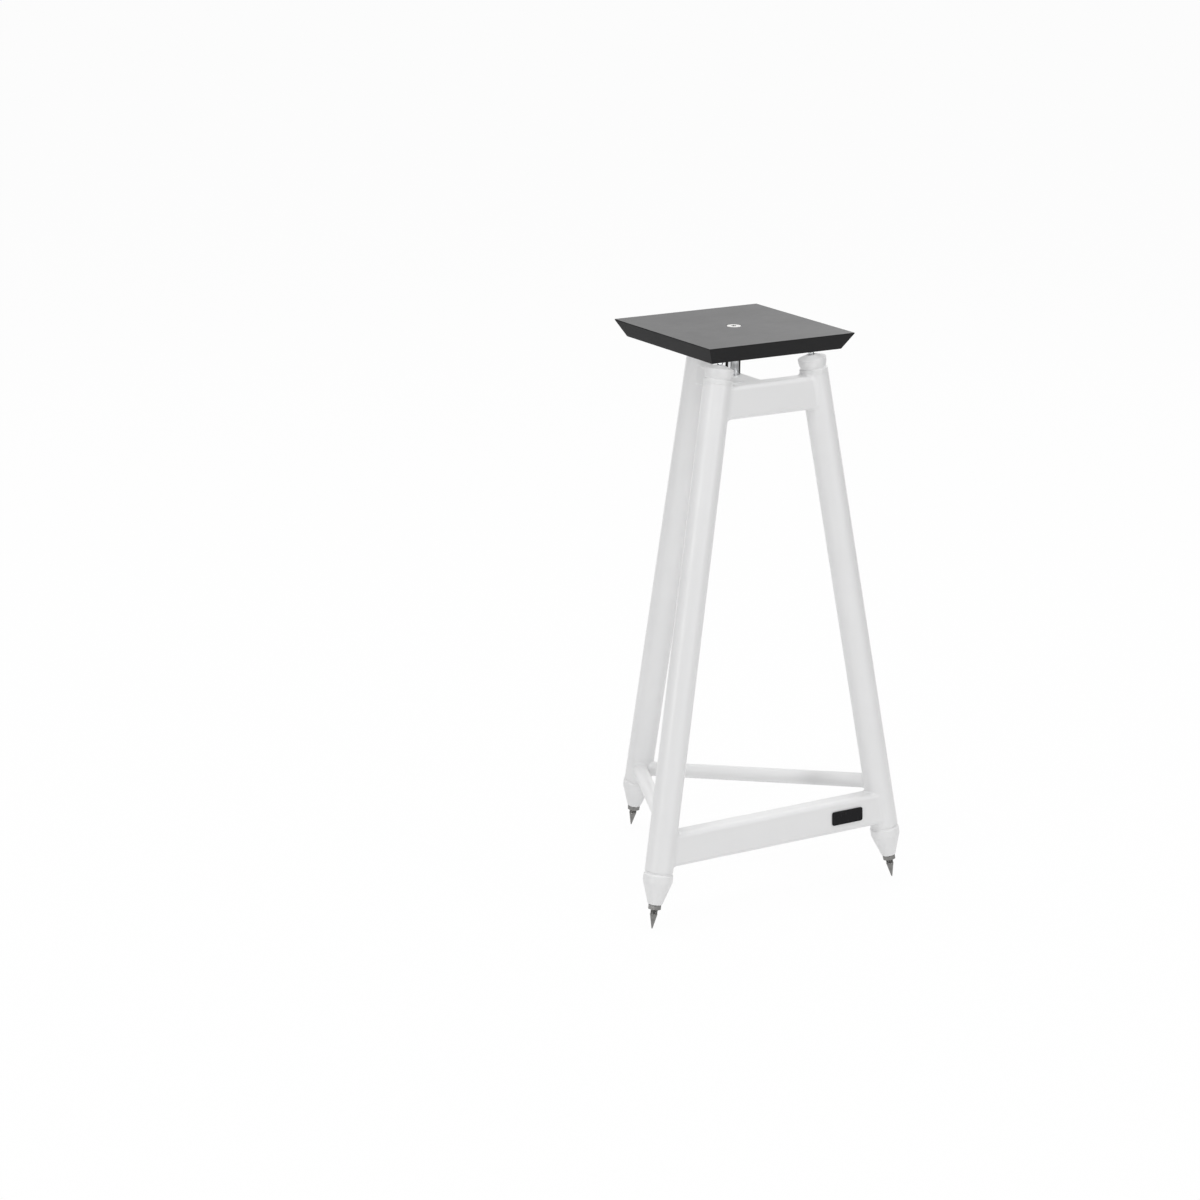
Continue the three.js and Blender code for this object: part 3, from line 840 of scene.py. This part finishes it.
def weldBead(name, section, centre, axes, skin, size, keepSide=0):
    # section: points and outward ways of a tube's edge; axes: its two directions, and ahead
    sideways, upwards, ahead = axes
    verts = []
    for count, (point, way) in enumerate(section):
        start = centre + sideways * point.x + upwards * point.y
        out = sideways * way.x + upwards * way.y
        travel = 0
        for _ in range(weld["tries"]):
            gap = skin(start + ahead * travel)[0]
            travel += gap
            if gap < weld["near"]:
                break
        corner = start + ahead * travel
        inwards = skin(corner)[1]
        wave = sum(math.sin(count * pace + offset) * share
                   for pace, offset, share in weld["waves"])
        reach = size * (1 + weld["ripple"] * wave)
        slide = (out - inwards * out.dot(inwards)).normalized()
        near = corner - ahead * reach * weld["run"]
        far = corner + slide * reach
        distance, outFar = skin(far)
        far = far - outFar * distance
        hub = corner.lerp((near + far) / 2, weld["fill"])
        for row in range(weld["rows"]):
            t = row / (weld["rows"] - 1)
            verts.append(near * (1 - t) ** 2 + hub * 2 * t * (1 - t) + far * t ** 2)
        verts.append(far - outFar * weld["sink"])
        verts.append(corner - out * weld["sink"] + ahead * weld["sink"])
        verts.append(near - out * weld["sink"])
    if keepSide:
        verts = [Vector((keepSide * max(0, keepSide * vertex.x), vertex.y, vertex.z))
                 for vertex in verts]
    ring, count = weld["rows"] + 3, len(section)
    faces = []
    for station in range(count):
        following = (station + 1) % count
        for row in range(ring):
            nextRow = (row + 1) % ring
            faces.append((station * ring + row, station * ring + nextRow,
                          following * ring + nextRow, following * ring + row))
    mesh = bpy.data.meshes.new(name)
    mesh.from_pydata([tuple(vertex) for vertex in verts], [], faces)
    piece = bpy.data.objects.new(name, mesh)
    bpy.context.scene.collection.objects.link(piece)
    pick(piece)
    bpy.ops.object.mode_set(mode="EDIT")
    bpy.ops.mesh.select_all(action="SELECT")
    bpy.ops.mesh.remove_doubles(threshold=joined)
    bpy.ops.mesh.normals_make_consistent(inside=False)
    bpy.ops.object.mode_set(mode="OBJECT")
    pick(piece)
    bpy.ops.object.shade_smooth_by_angle(angle=math.radians(weld["smooth"]))
    belongs(piece, "frame", "frame_paint", paintFinish)


frontSection = boxSection(railSize["depth"], railSize["height"], railSize["corner"])
for title, line in (("Upper", upperLine), ("Lower", lowerLine)):
    for side, leg in ((-1, frontLeft), (1, frontRight)):
        weldBead("weld" + title + ("Left" if side < 0 else "Right"), frontSection, line.centre,
                 (back, rise, across * side), leg.skin, weld["front"])
for side, title in ((-1, "Left"), (1, "Right")):
    start, end, frontEnd = rearLine(side)
    ahead = (end - start).normalized()
    sideways = ahead.cross(upward).normalized()
    axes = (sideways, sideways.cross(ahead), ahead)
    ring = roundSection(rearRail["radius"])
    weldBead("weldRearRailFront" + title, ring, (start + end) / 2, axes, frontEnd.skin,
             weld["rear"])
    axes = (sideways, sideways.cross(ahead), -ahead)
    weldBead("weldRearRailBack" + title, ring, (start + end) / 2, axes, rear.skin,
             weld["rear"], side)
barSection = boxSection(barSize["width"], barSize["height"], barSize["corner"])
barCentre = Vector((0, middle.y, barMiddle))
for title, ahead, skin in (("Front", -1, upperLine.skin), ("Back", 1, rear.skin)):
    axes = (across, upward, Vector((0, ahead, 0)))
    weldBead("weldBar" + title, barSection, barCentre, axes, skin, weld["bar"])
print("weld beads made")

plate = dict(width=182 * mm, depth=180 * mm, thickness=18 * mm, land=1 * mm, undercut=9.7 * mm,
             edge=0.3 * mm)
bolt = dict(radius=4 * mm, head=7.5 * mm, land=0.6 * mm, socket=5 * mm, socketDepth=3 * mm,
            tail=3 * mm, pitch=1.25 * mm, threadLength=24 * mm, chamfer=0.8 * mm, sides=64)
sleeve = dict(radius=8.5 * mm, edge=0.6 * mm)
washer = dict(radius=8 * mm, thickness=1.6 * mm, edge=0.25 * mm)
nut = dict(flats=13 * mm, height=6.5 * mm)
badge = dict(width=40 * mm, height=15 * mm, thickness=1 * mm, corner=2.5 * mm, room=20 * mm)

gap = stand["seatGap"]
washerTop = barTop - barSize["height"] - gap
nutTop = washerTop - washer["thickness"] - gap
boltEnd = nutTop - nut["height"] - bolt["tail"]


def makePlate():
    clearPicks()
    body = plate["thickness"] - plate["land"]
    place = (middle.x, middle.y, stand["underside"] + body / 2)
    bpy.ops.mesh.primitive_cube_add(size=1, location=place,
                                    scale=(plate["width"], plate["depth"], body))
    board = fresh("boardPlate")
    pick(board)
    bpy.ops.object.transform_apply(location=True, rotation=True, scale=True)
    bpy.ops.object.mode_set(mode="EDIT")
    bpy.ops.mesh.select_mode(type="FACE")
    pickFaces(board, lambda face: face.normal.z < -0.9)
    bpy.ops.transform.resize(value=(1 - 2 * plate["undercut"] / plate["width"],
                                    1 - 2 * plate["undercut"] / plate["depth"], 1),
                             center_override=(middle.x, middle.y, stand["underside"]))
    pickFaces(board, lambda face: face.normal.z > 0.9)
    bpy.ops.mesh.extrude_region_move(TRANSFORM_OT_translate=dict(value=(0, 0, plate["land"])))
    bpy.ops.object.mode_set(mode="OBJECT")
    applyOne(board, "BEVEL", dict(width=plate["edge"], segments=3, limit_method="ANGLE",
                                  angle_limit=math.radians(20)))
    sink = bolt["head"] + gap
    sinkFloor = stand["height"] - bolt["land"] - gap
    low, high = stand["underside"] - overcut, stand["height"] + overcut
    drill = turned("drill", [(0, low), (boltHole, low), (boltHole, sinkFloor - (sink - boltHole)),
                             (sink, sinkFloor), (sink, high), (0, high)])
    cutWith(board, setDown(drill, middle))
    # faces that don't point up take the darker copy: painted shade on the board's sides
    for face in board.data.polygons:
        face.material_index = 0 if face.normal.z > 0.5 else 1
    belongs(smoothed(board, angle=24), "top_plate", "plate_board", boardTop, boardShadedEdge,
            stands=["top_plate"])
    letLampsPast(board)


def makeBolt(steelHere):
    top, radius, head = stand["height"], bolt["radius"], bolt["head"]
    headDepth = bolt["land"] + head - radius
    low, high = boltEnd + bolt["chamfer"], boltEnd + bolt["threadLength"]
    outline = [(0, boltEnd), (radius - bolt["chamfer"], boltEnd),
               *threadRun(radius, low, high, bolt["pitch"]),
               (radius, top - headDepth, 0.3 * mm), (head, top - bolt["land"], 0.12 * mm),
               (head, top, 0.25 * mm), (0, top)]
    screw = turned("boltThroughPlate", outline, bolt["sides"])
    cutThread(screw, radius, low, high, bolt["pitch"])
    socket = hexBar("socket", bolt["socket"], top - bolt["socketDepth"], top + overcut)
    mouth = turned("mouth", [(0, top - 0.3 * mm), (bolt["socket"] / 2 - 0.1 * mm, top - 0.3 * mm),
                             (bolt["socket"] / 2 + 0.5 * mm, top + 0.3 * mm), (0, top + 0.3 * mm)])
    cutWith(screw, socket, mouth)
    floor = top - bolt["socketDepth"]
    for face in screw.data.polygons:            # the socket's faces get near-black steel: painted shade in the recess
        inside = math.hypot(face.center.x, face.center.y) < bolt["socket"] / 2 + 0.3 * mm
        deep = floor - 0.1 * mm < face.center.z < top - 0.2 * mm
        face.material_index = 1 if inside and deep else 0
    dark = turnedSteel("blackSocket", (0, 0, 0), middle, socketShadeSteel)
    belongs(smoothed(setDown(screw, middle)), "plate_bolt", "plain_steel", steelHere, dark,
            stands=["plate_bolt"])


def makeBoltStack(steelHere):
    tube = closedRing("sleeveUnderPlate", sleeve["radius"], boltHole, barTop + gap,
                      stand["underside"] - gap, sleeve["edge"])
    belongs(smoothed(setDown(tube, middle)), "frame", "polished_chrome", chromeFinish,
            stands=["centre_spacer"])
    disc = closedRing("washerUnderBar", washer["radius"], boltHole, washerTop - washer["thickness"],
                      washerTop, washer["edge"])
    belongs(smoothed(setDown(disc, middle)), "frame", "plain_steel", steelHere,
            stands=["bolt_washer"])
    holder = hexNut("nutUnderBar", nut["flats"], nut["height"], boltHole)
    place = middle + Vector((0, 0, nutTop - nut["height"]))
    belongs(smoothed(setDown(holder, place)), "frame", "plain_steel", steelHere,
            stands=["bolt_nut"])


def makeBadge():
    clearPicks()
    bpy.ops.mesh.primitive_plane_add(size=1)
    tag = fresh("badgeBare")
    bpy.ops.object.mode_set(mode="EDIT")
    bpy.ops.mesh.select_all(action="SELECT")
    bpy.ops.transform.resize(value=(badge["width"], badge["height"], 1))
    bpy.ops.mesh.bevel(offset=badge["corner"], affect="VERTICES", segments=10)
    bpy.ops.mesh.select_all(action="SELECT")
    bpy.ops.mesh.extrude_region_move(TRANSFORM_OT_translate=dict(value=(0, 0, badge["thickness"])))
    bpy.ops.object.mode_set(mode="OBJECT")
    applyOne(tag, "BEVEL", dict(width=0.2 * mm, segments=3, limit_method="ANGLE",
                                angle_limit=math.radians(60)))
    pick(tag)
    bpy.ops.object.mode_set(mode="EDIT")
    bpy.ops.mesh.select_all(action="SELECT")
    bpy.ops.mesh.normals_make_consistent(inside=False)
    bpy.ops.object.mode_set(mode="OBJECT")
    place = frontRight.atHeight(lowerHeight)
    front = -back
    left = place.x - legTube["radius"] - badge["room"] - badge["width"] / 2
    spot = Vector((left, place.y, place.z)) + front * (railSize["depth"] / 2 + gap)
    setInFrame(tag, (across, rise, front), spot)
    belongs(smoothed(tag), "frame", "badge_black", badgeGloss(), stands=["badge_plate"])


makePlate()
boltFinish = turnedSteel("turnedSteel_bolt", (0, 0, 0), middle, boltSteel)
makeBolt(boltFinish)
makeBoltStack(boltFinish)
makeBadge()
print("plate, bolt, sleeve and badge made")
